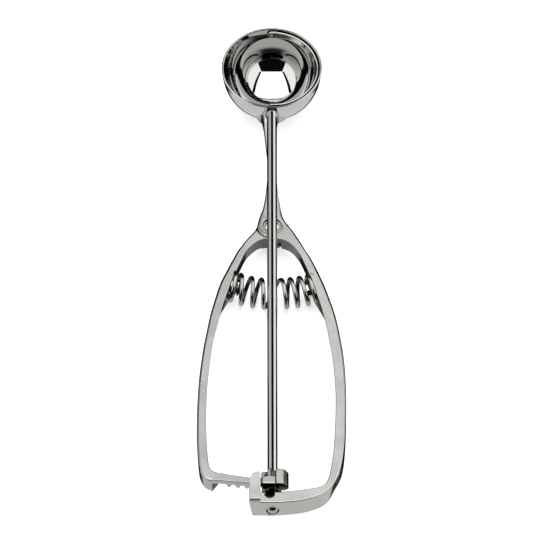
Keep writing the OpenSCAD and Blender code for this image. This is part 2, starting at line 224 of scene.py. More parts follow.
def skin(name, sheets, body, replaces, finish, painted_dark_share=()):
    """One smooth mesh from closed sheets, in its finish. A sheet is points [row, column]: columns
    go round, rows go along, and both end rows are closed with a fan; or it is ("loop", points),
    whose last row joins its first. Each is turned so that its volume is positive.
    painted_dark_share holds, for each sheet, how far its points' colour is painted dark, 0 to 1:
    mostly painted shade. A piece without a body is left for the caller to hang."""
    verts, faces, stains, start = [], [], [], 0
    for number, sheet in enumerate(sheets):
        loop = isinstance(sheet, tuple)
        p = laid(sheet[1] if loop else sheet)
        n, m = p.shape[:2]
        i = np.arange(n if loop else n - 1)[:, None]
        j = np.arange(m)
        i2, j2 = (i + 1) % n, (j + 1) % m
        corners = (i * m + j, i * m + j2, i2 * m + j2, i2 * m + j)
        quads = np.stack(corners, -1).reshape(-1, 4)
        flat = p.reshape(-1, 3)
        fans = np.zeros((0, 3), int)
        painted_dark = np.broadcast_to(painted_dark_share[number] if number < len(painted_dark_share) else 0.0, (n, m))
        stain = painted_dark.ravel()
        if not loop:
            end = n * m
            low = np.stack([j2, j, 0 * j + end], -1)
            high = np.stack([end - m + j, end - m + j2, 0 * j + end + 1], -1)
            fans = np.vstack([low, high])
            flat = np.vstack([flat, p[0].mean(0), p[-1].mean(0)])
            stain = np.concatenate([stain, [painted_dark[0].mean(), painted_dark[-1].mean()]])
        middle = flat.mean(0)
        tris = np.vstack([quads[:, [0, 1, 2]], quads[:, [0, 2, 3]], fans])
        a, b, c = (flat[tris[:, q]] - middle for q in range(3))
        if np.einsum("ij,ij->", a, np.cross(b, c)) < 0:
            quads, fans = quads[:, ::-1], fans[:, ::-1]
        verts.append(flat)
        stains.append(stain)
        faces += [quads + start, fans + start]
        start += len(flat)
    mesh = bpy.data.meshes.new(name)
    mesh.from_pydata(np.vstack(verts), [], [f for q in faces for f in q.tolist()])
    mesh.polygons.foreach_set("use_smooth", np.ones(len(mesh.polygons), bool))
    stains = np.concatenate(stains).astype(np.float32)
    mesh.attributes.new("painted_dark_share", "FLOAT", "POINT").data.foreach_set("value", stains)
    mesh.update()
    piece = placed(name, mesh)
    if body:
        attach(piece, body)
    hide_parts(replaces)
    dress(piece, finish)
    return piece


def section(across, down, arc=6):
    """Columns of a rounded box section, once round. Each is: share across from the first rail,
    inset in radii, share of the radius or of the depth, and zone (0 front, 1 side, 2 back edge,
    3 back)."""
    s = np.linspace(0, 1, across)
    d = np.linspace(0, 1, down)
    q = [(math.sin(a), math.cos(a)) for a in np.linspace(0, math.pi / 2, arc + 2)[1:-1]]
    rows = [(v, 1, 0, 0) for v in s]  # front face
    rows += [(1, 1 - v, 1 - w, 0) for v, w in q]  # front edge, outer side
    rows += [(1, 0, v, 1) for v in d]  # outer side
    rows += [(1, 1 - w, v, 2) for v, w in q]  # back edge, outer side
    rows += [(1 - v, 1, 1, 3) for v in s]  # back face
    rows += [(0, 1 - v, w, 2) for v, w in q]  # back edge, first side
    rows += [(0, 0, 1 - v, 1) for v in d]  # first side
    rows += [(0, 1 - w, 1 - v, 0) for v, w in q]  # front edge, first side
    return np.array(rows, float)


def swept(rails, front, back, edges, heels, leans=(0, 0), bow=None, across=14, down=7):
    """Bar carried along two rails. Each crossing line runs from the first rail to the other; the
    section is a box from front(x, y) down to back(x, y). Edges, heels and leans are pairs for the
    first and the other side: fillets in front, fillets behind, and how far a side leans in for
    each mm of depth. Bow pushes the line's middle away from the rivet, as a parabola."""
    first, other = rails[:, :2], rails[:, 2:4]
    s, inset, share, zone = section(across, down).T
    wide = np.linalg.norm(other - first, axis=1)[:, None]
    line = (other - first) / wide
    e0, e1, h0, h1, l0, l1 = (np.broadcast_to(v, len(rails))[:, None]
                              for v in (*edges, *heels, *leans))
    edge, heel = e0 + (e1 - e0) * s, h0 + (h1 - h0) * s
    mid = (first + other) / 2
    deep = (front(mid[:, 0], mid[:, 1]) - back(mid[:, 0], mid[:, 1]))[:, None]
    side = edge + (deep - edge - heel) * share
    depth = np.where(zone == 0, edge * share, np.where(zone == 1, side, deep - heel * (1 - share)))
    low = inset * np.where(zone < 2, e0, h0) + l0 * depth
    high = wide - inset * np.where(zone < 2, e1, h1) - l1 * depth
    a = low + s * (high - low)
    xy = first[:, None] + line[:, None] * a[..., None]
    if bow is not None:
        away = unit(mid - PIVOT)
        t = a / wide
        xy = xy + (bow[:, None] * 4 * t * (1 - t))[..., None] * away[:, None]
    zf, zb = front(xy[..., 0], xy[..., 1]), back(xy[..., 0], xy[..., 1])
    side = zf - edge + (zb + heel - zf + edge) * share
    z = np.where(zone == 0, zf - edge * share, np.where(zone == 1, side, zb + heel * (1 - share)))
    return np.concatenate([xy, z[..., None]], -1)


def stacked(outline, levels):
    """Block with a plan outline. Each level is its height, or a function of y that gives it; the
    outline's inset along its normals; and a function that shapes the plan at that height."""
    o = np.asarray(outline, float)
    ahead, behind = np.roll(o, -1, 0), np.roll(o, 1, 0)
    t = ahead - behind
    normal = np.stack([-t[:, 1], t[:, 0]], -1)
    normal /= np.maximum(np.linalg.norm(t, axis=1)[:, None], 1e-9)
    area = np.sum(o[:, 0] * ahead[:, 1] - o[:, 1] * ahead[:, 0])
    normal *= 1 if area > 0 else -1
    rows = []
    for height, inset, reshape in levels:
        p = reshape(o + normal * inset, height)
        z = height(p[:, 1]) if callable(height) else np.full(len(p), float(height))
        rows.append(np.concatenate([p, z[:, None]], -1))
    return np.stack(rows)


# ---- the casting's planes

def from_rivet(x, y):
    """Distance from the rivet's axis."""
    return np.hypot(x - PIVOT[0], y - PIVOT[1])


def from_pocket(x, y):
    """Distance from the axis of the foot's pocket."""
    return np.hypot(x - POCKET[0], y - POCKET[1])


def rise(y, reach, top):
    """Height of a front face: flat at the joint, bending softly into a slope that gets to top at
    reach. The bend is half of t plus the root of t squared plus 16, t being the way past it."""
    t = BEND_Y - y
    return JOINT_TOP + (t + np.sqrt(t * t + 16)) / 2 * (top - JOINT_TOP) / (BEND_Y - reach)


def fixed_front(x, y):
    """Front of the neck and grip, with a sink for the rivet's head and a pocket in the foot."""
    z = rise(y, FOOT_FRONT[0], FOOT_FRONT[1])
    near = np.interp(-y, [16, 20, 23.9, 30, 36], [-1.9, -2.0, -2.25, -2.45, JOINT_TOP])
    z = np.where(y > -36, near, z)
    z = z - 0.03 * np.maximum(-x - 2.5, 0) ** 2 * ease(-y, 84, 79) * ease(-y, 58, 68)
    z = z - SINK_DEEP * (1 - ease(from_rivet(x, y), SINK_R - SINK_WALL, SINK_R))
    return z - POCKET_DEEP * (1 - ease(from_pocket(x, y), POCKET_R - SINK_WALL, POCKET_R))


def fixed_back(x, y):
    """Back of the neck and grip; the eye is cut back to the lap inside a round pocket."""
    ys = [16.1, 18.65, 20.7, 23.2, 26, 30.4, 33, 40, 50, 58, 66, 84, 207, 209.5, 217.9]
    zs = [-11.3, -9.94, -8.7, -7.88, -7.6, -7.3, -7.1, -6.8, -7.1, -7.9, JOINT_BACK, JOINT_BACK,
          -3.4, floor_z(-209.5), floor_z(-217.9)]
    z = np.interp(-y, ys, zs)
    return z + (LAP - z) * (1 - ease(from_rivet(x, y), EYE_POCKET_R - 0.3, EYE_POCKET_R))


def lever_front(x, y):
    """Front of the lever: from the joint's level up to the rack's top."""
    return np.minimum(rise(y, -208.5, RACK_TOP), RACK_TOP)


def lever_back(x, y):
    """Back of the lever's grip."""
    return np.interp(-y, [84, 205], [JOINT_BACK, -0.5])


# ---- materials

# Share of its colour that steel keeps where its painted dark share is full: painted shade on most
# pieces
PAINTED_DARKEST = 0.03


def linear(code):
    """sRGB hex value to linear red, green, blue and 1."""
    c = np.array([int(code[i:i + 2], 16) for i in (1, 3, 5)]) / 255
    c = np.where(c <= 0.04045, c / 12.92, ((c + 0.055) / 1.055) ** 2.4)
    return (*c.tolist(), 1.0)


def node(tree, kind, settings=None, **sockets):
    """Adds a shader node; settings are its properties, sockets its inputs by name with _ for a
    space, or i and the number, as a value or as the output to link."""
    n = tree.nodes.new(kind)
    for key, value in (settings or {}).items():
        setattr(n, key, value)
    for key, value in sockets.items():
        numbered = key[0] == "i" and key[1:].isdigit()
        s = n.inputs[int(key[1:]) if numbered else key.replace("_", " ")]
        if isinstance(value, bpy.types.NodeSocket):
            tree.links.new(value, s)
        else:
            s.default_value = value
    return n


def emptied(owner):
    """Node tree of a material or a world, with nothing in it."""
    owner.use_nodes = True
    owner.node_tree.nodes.clear()
    return owner.node_tree


def steel(name, colour, rough, rough_spread, wave_mm, wave, grain_mm, grain, stretch=(1, 1, 1)):
    """Polished stainless steel. wave is a slow unevenness of wave_mm that bends reflections. grain
    is the marks of polishing, grain_mm apart and drawn out by stretch: real ones are finer than
    0.05 mm, too fine to show, so they are drawn coarser. Wear of 9 mm varies the roughness."""
    t = emptied(bpy.data.materials.new(name))
    place = node(t, "ShaderNodeTexCoord").outputs["Object"]
    drawn = node(t, "ShaderNodeMapping", Vector=place, Scale=stretch).outputs[0]
    slow = node(t, "ShaderNodeTexNoise", Vector=place, Scale=1000 / wave_mm, Detail=1.0)
    fine = node(t, "ShaderNodeTexNoise", Vector=drawn, Scale=1000 / grain_mm, Detail=4.0,
                Roughness=0.6)
    wear = node(t, "ShaderNodeTexNoise", Vector=place, Scale=1000 / 9, Detail=3.0).outputs["Fac"]
    rough = node(t, "ShaderNodeMapRange", Value=wear, From_Min=0.35, From_Max=0.7,
                 To_Min=rough - rough_spread, To_Max=rough + rough_spread).outputs[0]
    bump = node(t, "ShaderNodeBump", Height=slow.outputs["Fac"], Distance=wave, Strength=1.0)
    bump = node(t, "ShaderNodeBump", Height=fine.outputs["Fac"], Distance=grain, Strength=1.0,
                Normal=bump.outputs[0])
    # The painted_dark_share attribute darkens the colour towards PAINTED_DARKEST: painted shade on
    # most pieces
    painted_dark = node(t, "ShaderNodeAttribute", {"attribute_name": "painted_dark_share"}).outputs["Fac"]
    dark = [PAINTED_DARKEST * v for v in colour[:3]] + [1.0]
    tone = node(t, "ShaderNodeMixRGB", Fac=painted_dark, Color1=tuple(colour), Color2=dark).outputs[0]
    shader = node(t, "ShaderNodeBsdfPrincipled", Base_Color=tone, Metallic=1.0, Roughness=rough,
                  Normal=bump.outputs[0])
    node(t, "ShaderNodeOutputMaterial", Surface=shader.outputs[0])


def finishes():
    """The scoop's finishes by name, made once from the colours in the panel. Each has its colour,
    roughness and its spread, wave's length and height, grain's spacing and height, and stretch:
    lengths in mm, heights in metres."""
    c = bpy.context.scene.scoop_colours
    made = {
        # Sheet steel spun and buffed to a mirror: crisp, slightly wavy reflections
        "buffed_sheet_steel": (c.sheet, 0.04, 0.01, 15, 1e-6, 0.35, 1e-8),
        # Investment casting tumbled bright: soft reflections, faint orange peel
        "tumbled_cast_steel": (c.casting, 0.22, 0.05, 8, 4e-6, 0.5, 1.5e-7),
        # Drawn and centreless-ground bar: clean reflections with faint lengthwise lines
        "drawn_bar_steel": (c.bar, 0.03, 0.008, 20, 3e-7, 0.3, 2e-8, (1, 0.04, 1)),
        # Cast gear teeth, worn bright: rougher; their dark roots are painted shade on the pieces
        "worn_gear_steel": (c.gear, 0.2, 0.06, 3, 5e-6, 0.45, 1.5e-6),
        # Bright drawn spring wire: softly blurred reflections, uneven along the wire
        "bright_spring_wire": (c.wire, 0.14, 0.03, 5, 2e-6, 0.3, 4e-7),
    }
    for name, v in made.items():
        if name not in bpy.data.materials:
            steel(name, *v)
    return bpy.data.materials


def dress(piece, finish):
    """Gives a piece its finish in place of any other."""
    piece.data.materials.clear()
    piece.data.materials.append(finishes()[finish])


# ---- settings

def length(name, description, default, low, high):
    """Size setting, given in mm and kept in metres."""
    return bpy.props.FloatProperty(
        name=name, description=description, default=default / 1000, min=low / 1000,
        max=high / 1000, precision=5, step=0.01, subtype="DISTANCE", unit="LENGTH")


def colour(name, code):
    """Colour setting from an sRGB hex value."""
    return bpy.props.FloatVectorProperty(
        name=name, description="Colour of: " + name, default=linear(code), size=4, min=0, max=1,
        subtype="COLOR")


class ScoopSizes(bpy.types.PropertyGroup):
    """Sizes of the scoop's pieces"""
    cup_wall: length("Cup wall", "Thickness of the cup's wall", 0.9, 0.5, 1.5)
    lip_rise: length("Lip rise", "Height of the lip above the rod's axis", 2.4, 1, 4)
    lip_flare: length("Lip flare", "Outward flare of the lip", 0.35, 0, 1)
    edge: length("Inner edges", "Fillet along the castings' inner front edges", 0.35, 0.1, 1.2)
    outer_edge: length("Outer edges", "Fillet along the castings' outer front edges", 1.0, 0.1, 1.5)
    heel: length("Back edges", "Fillet along the castings' back edges", 1.1, 0.1, 2)
    rod: length("Rod radius", "Radius of the scraper's rod", 2.0, 1, 3)
    blade: length("Blade width", "Width of the scraper blade", 3.4, 2, 5)
    wire: length("Wire radius", "Radius of the spring's wire", 0.86, 0.4, 1)
    coil: length("Coil radius", "Radius of the spring's coil", 5.5, 4, 6)


class ScoopColours(bpy.types.PropertyGroup):
    """Colours of the scoop's steels and of the floor"""
    sheet: colour("Cup", "#dad9d7")
    casting: colour("Castings", "#cbc9c6")
    bar: colour("Rod", "#d2d1d0")
    gear: colour("Gear", "#bdbab4")
    wire: colour("Spring", "#adaba7")
    floor: colour("Floor", "#e6e6e6")


def millimetres(context):
    """The size settings, in mm."""
    group = context.scene.scoop_sizes
    return types.SimpleNamespace(
        **{key: 1000 * getattr(group, key) for key in ScoopSizes.__annotations__})


# ---- pieces

class SCOOP_OT_cup(bpy.types.Operator):
    """Spun cup with its flared lip, and the bush that the rod enters by"""
    bl_idname = "scoop.cup"
    bl_label = "Cup"

    def execute(self, context):
        z = millimetres(context)
        # Profile turned about Z: a quarter circle outside, a flared wall, the lip's half circle,
        # and the same back down inside
        a = np.linspace(-math.pi / 2, 0, 49)
        out = np.stack([CUP_R * np.cos(a), CUP_R * np.sin(a)], -1)[1:]
        inner = CUP_R - z.cup_wall
        half = z.cup_wall / 2
        q = np.linspace(0, math.pi, 9)[1:-1]
        lip_r = (CUP_R + inner) / 2 + z.lip_flare
        lip = np.stack([lip_r + half * np.cos(q), z.lip_rise - half + half * np.sin(q)], -1)
        flare = z.lip_flare * np.array([0.35, 0.7, 1])
        climb = (z.lip_rise - half) * np.array([0.3, 0.7, 1])
        wall_out = np.stack([CUP_R + flare, climb], -1)
        wall_in = np.stack([inner + flare, climb], -1)[::-1]
        back = np.stack([inner * np.cos(a[::-1]), inner * np.sin(a[::-1])], -1)[:-1]
        profile = np.vstack([out, wall_out, lip, wall_in, back])
        shell = turned(profile, around=192)
        # Painted dark reflection and shade inside the cup: darker towards the lip, most in its
        # middle band, and nearly black on the wall beside the neck
        within = (np.arange(len(profile)) >= len(out) + len(wall_out) + 2)[:, None]
        x, y, height = np.moveaxis(shell, -1, 0)
        painted_dark = (0.62 - 0.34 * ease(np.abs(x), 9, 14)) * ease(height, -14, -9) * within
        beside_neck = ease(-y, 5, 12) * ease(height, -12, -9.5) * ease(np.abs(x), 12, 7)
        painted_dark = painted_dark + (0.97 - painted_dark) * beside_neck * within
        skin("cup_shell", [shell], "fixed_frame", "bowl_cup", "buffed_sheet_steel",
             [painted_dark])
        # Bush: a short collar round the rod's journal, its face just proud of the neck
        face = -CUP_R - 0.95
        ring = [[1.45, face + 0.9], [1.45, face], [2.2, face], [2.2, face + 1.4],
                [1.45, face + 1.4]]
        collar = ("loop", turned(fillet(ring, 0.15)[1:-1], along="Y", around=64))
        # The collar is painted nearly black as the shade in the gap round the rod's end
        skin("rod_collar", [collar], "fixed_frame", "rod_bush", "worn_gear_steel",
             [0.95])
        return {"FINISHED"}


def neck_and_grip(z):
    """Bar of the fixed casting from the cup to the guide wall, and its painted shade."""
    rails = spline(FIXED_RAILS, 8)
    # Closer rows in the foot, round its pocket
    last = len(rails) - 1
    close = np.concatenate([np.arange(last - 40), np.arange(last - 40, last - 0.01, 0.4), [last]])
    rails = np.stack([np.interp(close, np.arange(last + 1), column) for column in rails.T], -1)
    y = (rails[:, 1] + rails[:, 3]) / 2
    wide = np.linalg.norm(rails[:, 2:] - rails[:, :2], axis=1)
    beside = np.full(len(y), 9.0)
    thin = np.minimum(wide, fixed_front(beside, y) - fixed_back(beside, y)) / 2
    neck = ease(-y, 70, 58)
    foot = ease(-y, 203, 210)
    # Fillets: nearly round along the neck, crisp at the joint's seam and in the foot
    grip = z.outer_edge + 0.3 * ease(-y, 125, 95)
    grip = grip + (0.5 - grip) * foot
    outer = np.minimum(0.21 * thin * neck + grip * (1 - neck), 0.95 * thin)
    seam = ease(-y, 76.5, 78) * ease(-y, 82.5, 81)
    inner = (1.1 + (z.edge - 1.1) * ease(-y, 72, 77)) * (1 - seam) + 0.12 * seam
    inner = np.minimum(0.35 * thin * neck + inner * (1 - neck), 0.95 * thin)
    heel = (z.heel + (0.3 - z.heel) * foot) * (1 - neck)
    heel = np.minimum(0.97 * thin * neck + heel, 0.97 * thin)
    heel = np.where((y < -68) & (y > -84), 0.35, heel)
    # Inner faces lean out, but for the pad under the spring's seat; both sides flare to the cup
    draft = DRAFT * ease(-y, 97, 120) * ease(-y, 204, 178)
    draft = draft - 0.22 * ease(-y, 103, 108) * ease(-y, 120, 110)
    corner = 0.115 * ease(-y, 196, 206)
    flare = [17.2, 17.9, 18.7, 19.8, 21.6, 23.9, 26.6]
    draft = draft - np.interp(-y, flare, [0.65, 0.48, 0.32, 0.22, 0.16, 0.11, 0])
    flare[3] = 19.7
    corner = corner - np.interp(-y, flare, [0.95, 0.5, 0.2, 0.07, 0.05, 0.03, 0])
    bar = swept(rails, fixed_front, fixed_back, (inner, outer), (heel, heel), (draft, corner),
                across=28, down=26)
    # Painted shade: inside the arch, at the spring's seat, in the sinks, in the foot's pocket and
    # behind the eye; and a little at the joint, the more so to its left
    s, _, _, zone = section(28, 26).T
    inside = (s == 0) & (zone > 0) & (zone < 3)
    arch = ease(-y, 76, 78) * ease(-y, 118, 100)
    joint = ease(-y, 62, 72) * ease(-y, 96, 80)
    x, r = bar[..., 0], from_rivet(bar[..., 0], bar[..., 1])
    sunk = (r > 3.7) & (r < SINK_R + 0.05) & (bar[..., 2] < JOINT_TOP - 0.1)
    painted_dark = 0.8 * inside * arch[:, None]
    painted_dark = np.maximum(painted_dark, 0.9 * (zone == 3) * (r < EYE_POCKET_R + 0.1))
    painted_dark = np.maximum(painted_dark, 0.85 * (zone == 0) * sunk)
    painted_dark = np.maximum(painted_dark, (zone < 2) * (from_pocket(x, bar[..., 1]) < POCKET_R - 0.01))
    painted_dark = np.maximum(painted_dark, joint[:, None] * (0.14 + 0.4 * ease(-x, 1.5, 6)) * (zone == 0))
    # Towards the cup the bar closes, in some rows, on a ball just inside the cup's outer face,
    # and the flare's wings run out onto it
    rows = 8
    middle = bar[0].mean(0)
    caps = middle + (bar[0] - middle) * np.linspace(0.08, 0.94, rows)[:, None, None]
    bar = np.concatenate([caps, bar])
    painted_dark = np.vstack([np.zeros((rows, painted_dark.shape[1])), painted_dark])
    x, y, height = np.moveaxis(bar, -1, 0)
    ball = -np.sqrt(np.maximum((CUP_R - 0.45) ** 2 - x**2 - height**2, 0))
    y[:rows] = ball[:rows]
    y[:] = np.minimum(y, np.where(y > -22, ball, 0))
    y += (ball - y) * ease(np.abs(x), 3.2, 6.6) * ease(-y, 19.5, 17.1)
    # Sink in the foot's end face for the pin
    off = np.hypot(x, height)
    y += (PIN_SINK_Y - y) * (1 - ease(off, PIN_SINK_R - 0.3, PIN_SINK_R)) * (y < -215)
    return bar, painted_dark


def sink_rings():
    """Rings that give the sinks of the rivet and of the foot's pin their crisp edges."""
    near, far = SINK_R - SINK_WALL, SINK_R + 0.2
    low, high = JOINT_TOP - 0.95, JOINT_TOP + 0.012
    rim = fillet([[near, low], [near, high], [far, high], [far, low], [near, low]], 0.07)
    rivet_ring = turned(rim[:-1], (*PIVOT, 0), around=128)
    # The foot's ring leans with the end face
    face, inside = FOOT_BACK[0] + FOOT_BACK[1] * END_LEAN, -215
    rim = fillet([[2.9, inside], [2.6, inside], [2.6, face - 0.003], [3.05, face - 0.003],
                  [3.3, face + 0.06], [3.2, inside], [2.9, inside]], 0.03)
    pin_ring = turned(rim[:-1], along="Y", around=96)
    pin_ring[..., 1] -= pin_ring[..., 2] * END_LEAN * (pin_ring[..., 1] < inside - 1.5)
    return ("loop", rivet_ring), ("loop", pin_ring)


def guide_wall():
    """Post on the foot, and the hook that it carries over the rack, as two stacked blocks."""
    left, right, top, outer = WALL_LEFT, WALL_RIGHT, WALL_TOP, -217.9
    low = fillet([[right, -211], [right, outer], [left, outer], [left, -211]], 0.25, 7)
    high = fillet([[left, -211], [left, -208], [-8, -205.4], [-5.9, -204.6], [right, -204.6],
                   [right, -211]], 1.2, 7)
    plan = np.vstack([low[:-1], high[:-1]])
    face = np.array([FOOT_BACK, FOOT_FRONT, (-217.73, 8), (-217.62, top)])

    def wall(p, height):
        """Plan at a height: the outer side follows the foot's end face, the left side leans."""
        h = height(p[:, 1]) if callable(height) else height
        x, y = p.T
        side = np.interp(h, [-5, 5, top], [-7.7, -9.25, -9])
        x = x + (side - left) * ease(-x, 6.5, 8.9)
        return np.stack([x, np.maximum(y, np.interp(h, face[:, 1], face[:, 0]) + y - outer)], -1)

    def post(p, height):
        """Plan of the wall, cut off where the rack passes."""
        x, y = wall(p, height).T
        return np.stack([x, np.minimum(y, -209.75)], -1)

    def drawn_in(share):
        """Plan drawn in towards its middle by a share, for the flat top."""
        def inner(p, height):
            p = wall(p, height)
            return p + (p.mean(0) - p) * share
        return inner

    edge = 0.07
    sides = (HOOK_Z + 0.04, HOOK_Z + 0.1, 7.97, 8.03, top - 0.04 - edge, top - edge)
    rounded = ((0.6, 0.09), (0.2, 0.4), (0, 1))
    hook = stacked(plan, [(HOOK_Z, 0.03, wall), *((h, 0, wall) for h in sides),
                          *((top - down * edge, inset * edge, wall) for down, inset in rounded),
                          *((top, edge, drawn_in(share)) for share in (0.03, 0.15))])
    sides = (0, FOOT_FRONT[1] - 0.04, FOOT_FRONT[1] + 0.04, HOOK_Z, HOOK_Z + 0.04)
    foot = stacked(plan, [(floor_z, 0.5, post), (lambda y: floor_z(y) + 0.4, 0.05, post),
                          *((h, 0, post) for h in sides)])
    return hook, foot


class SCOOP_OT_fixed_casting(bpy.types.Operator):
    """Neck, eye, right-hand grip, foot and guide wall, which are one casting"""
    bl_idname = "scoop.fixed_casting"
    bl_label = "Fixed casting"

    def execute(self, context):
        bar, painted_dark = neck_and_grip(millimetres(context))
        skin("fixed_casting", [bar, *guide_wall(), *sink_rings()], "fixed_frame",
             "fixed_handle", "tumbled_cast_steel", [painted_dark])
        return {"FINISHED"}


def rack_rows():
    """Crossing lines of the rack: both rails, no bow, and the height of the toothed underside.
    They lie along the rack's radius, closer together at each tooth's corners."""
    flank = math.tan(math.radians(20))
    half = TOOTH_PITCH / 2
    wide = half - (half - 0.15) / 2 + TOOTH_TIP * flank
    narrow = wide - (RACK_ROOT - RACK_TIP) * flank
    marks = np.array([-wide - 0.07, -wide + 0.05, -narrow - 0.05, -narrow + 0.07, 0,
                      narrow - 0.07, narrow + 0.05, wide - 0.05, wide + 0.07]) / RACK_R
    centres = np.radians((MESH_LEAD + 360 / PINION_TEETH * np.arange(6)) / GEAR_RATIO)
    angles = np.concatenate([(centres[:, None] + marks).ravel(), np.radians([8.8, 8.95, 9.1])])
    end = -math.asin(1.05 / RACK_R)
    angles = np.concatenate([[end + 0.0002, end + 0.002], angles[angles > end + 0.004]])
    angles = np.sort(angles)[::-1]
    arc = np.abs(angles[:, None] - centres).min(1) * RACK_R
    under = np.interp(arc, [narrow, wide], [RACK_ROOT, RACK_TIP])
    under = np.where(angles > centres[-1] + narrow / RACK_R, RACK_ROOT, under)
    inner = np.interp(np.degrees(angles), [-1, 1.2, 2, 3.7, 6.4, 8.8],
                      [129.9, 129.9, 131.1, 131.1, 130.6, 130.1])
    rails = [v for r in (inner, 133.9)
             for v in (-r * np.sin(angles), PIVOT[1] - r * np.cos(angles))]
    return np.column_stack([*rails, 0 * angles, under])


class SCOOP_OT_lever_casting(bpy.types.Operator):
    """Lever with its eye, grip, foot and the toothed rack"""
    bl_idname = "scoop.lever_casting"
    bl_label = "Lever casting"

    def execute(self, context):
        z = millimetres(context)
        rails = spline(np.column_stack([LEVER_RAILS, LEVER_BOW]), 12)
        grip = np.column_stack([rails, lever_back(0, (rails[:, 1] + rails[:, 3]) / 2)])
        # Two rows step from the foot's back up to the rack's underside
        step = [(-21.1, -203.72, -23.85, -207.55, 0, -0.5),
                (-21, -203.75, -23.7, -207.53, 0, RACK_ROOT)]
        rows = np.vstack([grip, step, rack_rows()])
        behind = rows[:, 5]

        def back(x, y):
            """Height behind each row, the same at all of its points."""
            return np.broadcast_to(behind[:, None], x.shape) if x.ndim == 2 else behind

        y = (rows[:, 1] + rows[:, 3]) / 2
        rack = np.arange(len(rows)) >= len(grip)
        inner = z.edge + (0.12 - z.edge) * ease(-y, 84, 79)
        outer = np.where(rack, 0.3, z.outer_edge + 0.3 * ease(-y, 125, 95))
        heel = np.where(rack, 0.2, z.heel)
        # Inner faces lean out, but for the pad under the spring's seat
        draft = DRAFT * ease(-y, 97, 120) * ease(-y, 200, 176)
        draft = draft - 0.22 * ease(-y, 101, 106) * ease(-y, 118, 108)
        draft = np.where(rack, 0, draft)
        bar = swept(rows, lever_front, back, (inner, outer), (heel, heel), (draft, 0.03 * ~rack),
                    rows[:, 4], across=16, down=8)
        # Eye: the back half of the lap, and the root that joins it to the grip
        eye = fillet([[0.01, JOINT_BACK], [EYE_R, JOINT_BACK], [EYE_R, JOINT_BACK + 1.2],
                      [6.2, JOINT_BACK + 1.4], [6.2, LAP - 0.1], [0.01, LAP - 0.1]], 0.3)
        eye = turned(eye, (*PIVOT, 0), around=128)
        roots = spline([(2.1, -78, -4, -74), (2.05, -81.3, -5.4, -75.8),
                        (-1.5, -81.55, -7.5, -78.25), (-3.6, -81.9, -9, -80.3)], 6)
        root = swept(roots, lambda x, y: x * 0 + LAP - 0.12, lambda x, y: x * 0 + JOINT_BACK,
                     (0.1, 0.2), (0.15, 0.3), bow=np.linspace(1.5, 0.6, len(roots)))
        # Painted shade inside the arch, on the eye and its root, between the rack's teeth, at its
        # end and in the slot beside the guide wall; and faint painted shade over the whole lever
        s, _, _, zone = section(16, 8).T
        inside = (s == 0) & (zone > 0) & (zone < 3)
        arch = ease(-y, 75, 77) * ease(-y, 116, 100)
        x, rack = bar[..., 0], rack[:, None]
        painted_dark = np.maximum(0.8 * inside * arch[:, None], 0.9 * (from_rivet(x, bar[..., 1]) < 6.6))
        painted_dark = np.maximum(painted_dark, 0.5 * (rack & (zone > 1)) * (behind > PITCH_R)[:, None])
        painted_dark = np.maximum(painted_dark, 0.85 * (rack & (x > -5.2)) * ((zone > 0) | (x < -3.9)))
        painted_dark = np.maximum(painted_dark, 0.06)
        skin("lever_casting", [bar, eye, root], "lever", "lever_handle",
             "tumbled_cast_steel", [painted_dark, 0.8, 0.8])
        return {"FINISHED"}


class SCOOP_OT_pins(bpy.types.Operator):
    """Rivet of the joint, pin in the foot and pin at the cup's far side"""
    bl_idname = "scoop.pins"
    bl_label = "Rivet and pins"

    def execute(self, context):
        top, low = JOINT_TOP - 0.15, JOINT_BACK
        head = fillet([[0.01, top + 0.33], [1.6, top + 0.22], [2.6, top], [2.9, top - 0.25],
                       [2.9, top - 0.7], [2, top - 0.7]], 0.25)
        tail = fillet([[2, low + 0.1], [3.1, low - 0.08], [2.6, low - 0.6], [1.4, low - 0.9],
                       [0.01, low - 0.98]], 0.3)
        rivet = turned(np.vstack([head, tail]), (*PIVOT, 0), around=96)
        skin("joint_rivet", [rivet], "fixed_frame", "pivot_rivet", "drawn_bar_steel")
        # Domed head outside the foot; behind it the shaft and the shoulder beside the pinion are
        # painted black as shade
        foot = fillet([[0.01, -217.5], [0.9, -217.4], [1.7, -217.05], [2.3, -216.55],
                       [2.3, PIN_SINK_Y], [1.3, PIN_SINK_Y], [1.3, -212.5], [2.8, -212.5],
                       [2.8, -208.2], [1.3, -208.2], [1.3, -207.55], [1, -207.5], [1, -201],
                       [0.01, -201]], 0.12)
        painted_shade_behind = np.where(foot[:, 1] > PIN_SINK_Y - 0.3, 1.0, 0.0)[:, None]
        foot = turned(foot, (0, 0, -0.2), along="Y", around=64)
        skin("foot_pin", [foot], "fixed_frame", "foot_pivot_pin",
             "tumbled_cast_steel", [painted_shade_behind])
        far, near = CUP_R, BLADE_R - BLADE_THICK - PLAY
        cap = fillet([[0.01, near - 0.3], [0.7, near - 0.25], [1.1, near], [0.8, near],
                      [0.8, far], [1.3, far], [1.15, far + 0.3], [0.8, far + 0.58],
                      [0.01, far + 0.7]], 0.1)
        worn = np.where(cap[:, 1] < far - 0.1, 0.35, 0.3)[:, None]
        cap = turned(cap, along="Y", around=48)
        skin("blade_pin", [cap], "fixed_frame", "blade_pivot_pin", "drawn_bar_steel",
             [worn])
        return {"FINISHED"}


